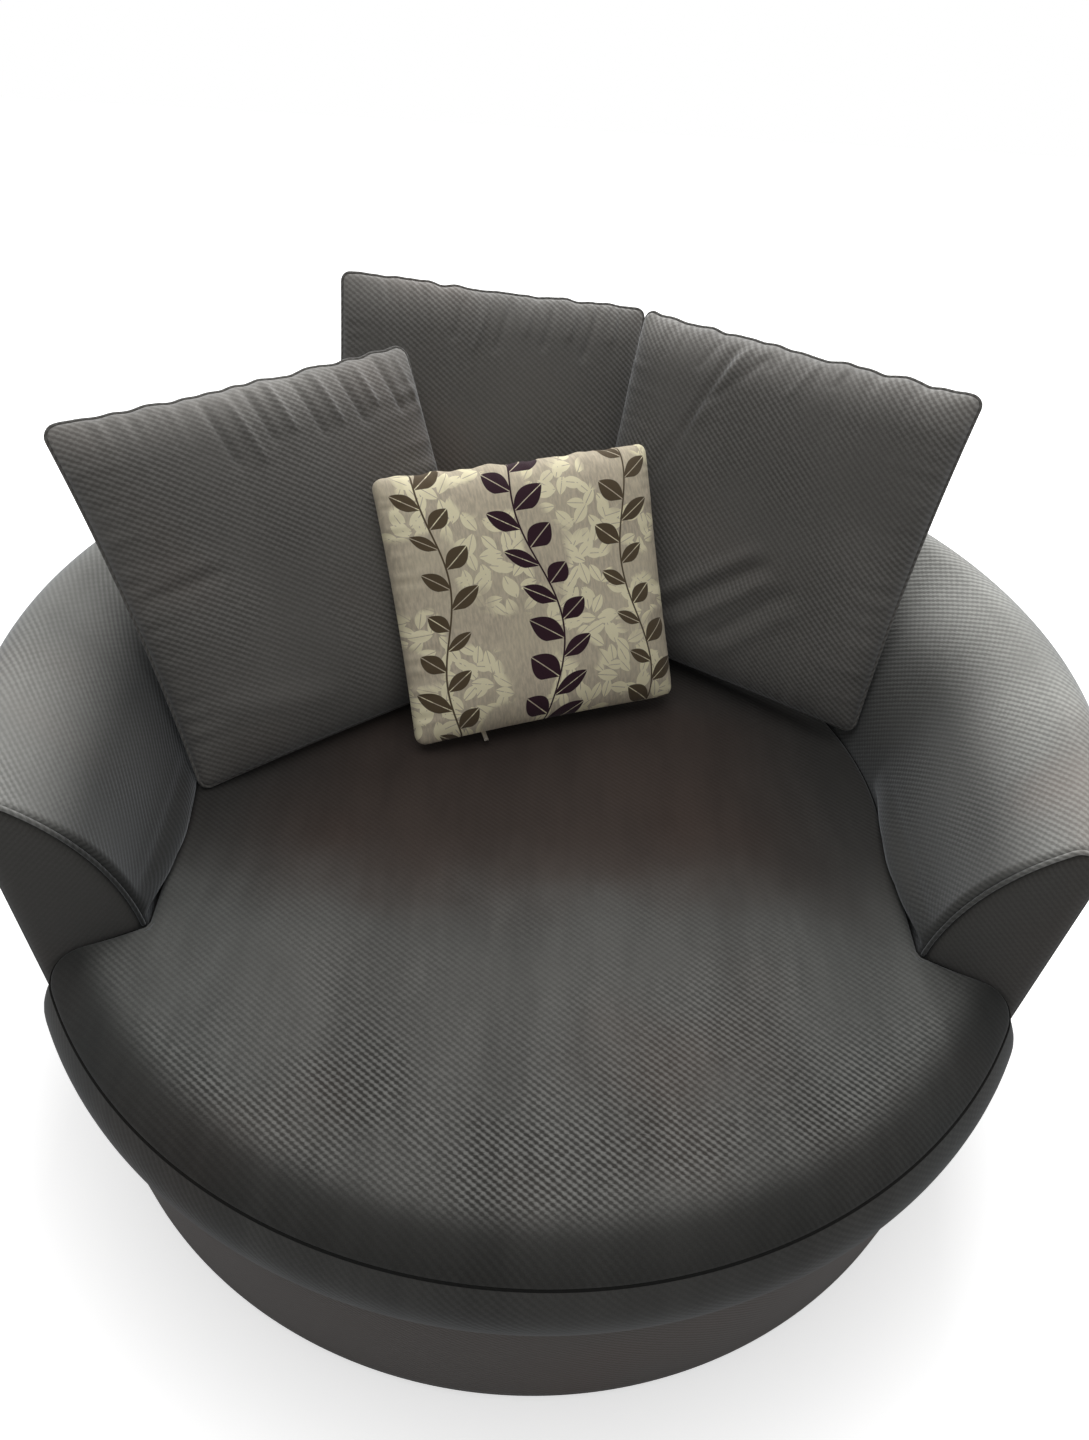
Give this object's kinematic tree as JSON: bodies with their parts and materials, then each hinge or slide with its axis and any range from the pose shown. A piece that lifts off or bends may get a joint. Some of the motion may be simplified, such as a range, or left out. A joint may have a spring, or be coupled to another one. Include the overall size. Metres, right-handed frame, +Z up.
{
  "type": "swivel cuddle chair",
  "caption": "Round upholstered swivel cuddle chair: drum base on a turntable, wraparound sloping arms, thick loose seat cushion and loose scatter cushions.",
  "frame": {"origin": "on the floor, where the swivel's axis meets it", "axes": "+Z up along the swivel axis, -Y towards the sitter's feet, +X to the right of someone facing the chair"},
  "size_m": [1.49, 1.4902, 1.0063],
  "materials": {
    "board": "raw plywood",
    "hardboard": "brown hardboard",
    "steel": "zinc plated",
    "chrome_steel": "polished ball",
    "nylon": "moulded glide",
    "charcoal_cloth": "textured chenille weave",
    "foam": "open-cell foam",
    "fibre": "fibre filling",
    "webbing": "elastic webbing",
    "lining": "non-woven lining",
    "printed_cloth": "printed cotton weave",
    "zip_metal": "satin pull"
  },
  "bodies": {
    "base": {"plinth_board": "board", "lower_plate_screws": "steel", "glides": "nylon", "turntable_lower_plate": "steel", "kingpin": "steel"},
    "ball_set": {"bearing_balls": "chrome_steel", "ball_cage": "steel"},
    "swivel_frame": {"turntable_upper_plate": "steel", "upper_plate_bolts": "steel", "upper_plate_nuts": "steel", "bottom_board": "board", "dust_cover": "lining", "drum_wall": "hardboard", "drum_cover": "charcoal_cloth", "drum_studs": "board", "deck_ring": "board", "lengthwise_straps": "webbing", "crosswise_straps": "webbing", "deck_cloth": "lining", "frame_ribs": "board", "top_rail": "board", "inner_panel": "hardboard", "outer_panel": "hardboard", "right_back_foam": "foam", "left_back_foam": "foam", "right_arm_foam": "foam", "left_arm_foam": "foam", "inner_cover": "charcoal_cloth", "outer_cover": "charcoal_cloth", "left_facing_board": "board", "left_facing_pad": "foam", "left_facing_cover": "charcoal_cloth", "left_facing_piping": "charcoal_cloth", "right_facing_board": "board", "right_facing_pad": "foam", "right_facing_cover": "charcoal_cloth", "right_facing_piping": "charcoal_cloth"},
    "seat_cushion": {"seat_cushion_cover": "charcoal_cloth", "seat_cushion_foam": "foam", "seat_cushion_piping": "charcoal_cloth"},
    "centre_cushion": {"centre_cushion_cover": "charcoal_cloth", "centre_cushion_filling": "fibre"},
    "left_cushion": {"left_cushion_cover": "charcoal_cloth", "left_cushion_filling": "fibre"},
    "right_cushion": {"right_cushion_cover": "charcoal_cloth", "right_cushion_filling": "fibre"},
    "patterned_cushion": {"patterned_cushion_cover": "printed_cloth", "patterned_cushion_filling": "fibre", "zip_pull": "zip_metal"}
  },
  "joints": [
    {"name": "swivel", "type": "hinge", "parent": "base", "child": "swivel_frame", "pos_m": [0, 0, 0.045], "axis": [0, 0, 1], "continuous": true},
    {"name": "ball_orbit", "type": "hinge", "parent": "base", "child": "ball_set", "pos_m": [0, 0, 0.0412], "axis": [0, 0, 1], "continuous": true},
    {"name": "seat_cushion_lift", "type": "slide", "parent": "swivel_frame", "child": "seat_cushion", "axis": [0, 0, 1], "range_m": [0, 0.42]},
    {"name": "centre_cushion_lift", "type": "slide", "parent": "seat_cushion", "child": "centre_cushion", "axis": [0, -0.6, 0.8], "range_m": [0, 0.5]},
    {"name": "left_cushion_lift", "type": "slide", "parent": "centre_cushion", "child": "left_cushion", "axis": [0, -0.6, 0.8], "range_m": [0, 0.5]},
    {"name": "right_cushion_lift", "type": "slide", "parent": "left_cushion", "child": "right_cushion", "axis": [0, -0.6, 0.8], "range_m": [0, 0.5]},
    {"name": "patterned_cushion_lift", "type": "slide", "parent": "right_cushion", "child": "patterned_cushion", "axis": [0, -0.6, 0.8], "range_m": [0, 0.5]}
  ],
  "couplings": [
    {"joint": "ball_orbit", "follows": "swivel", "ratio": 0.5}
  ]
}
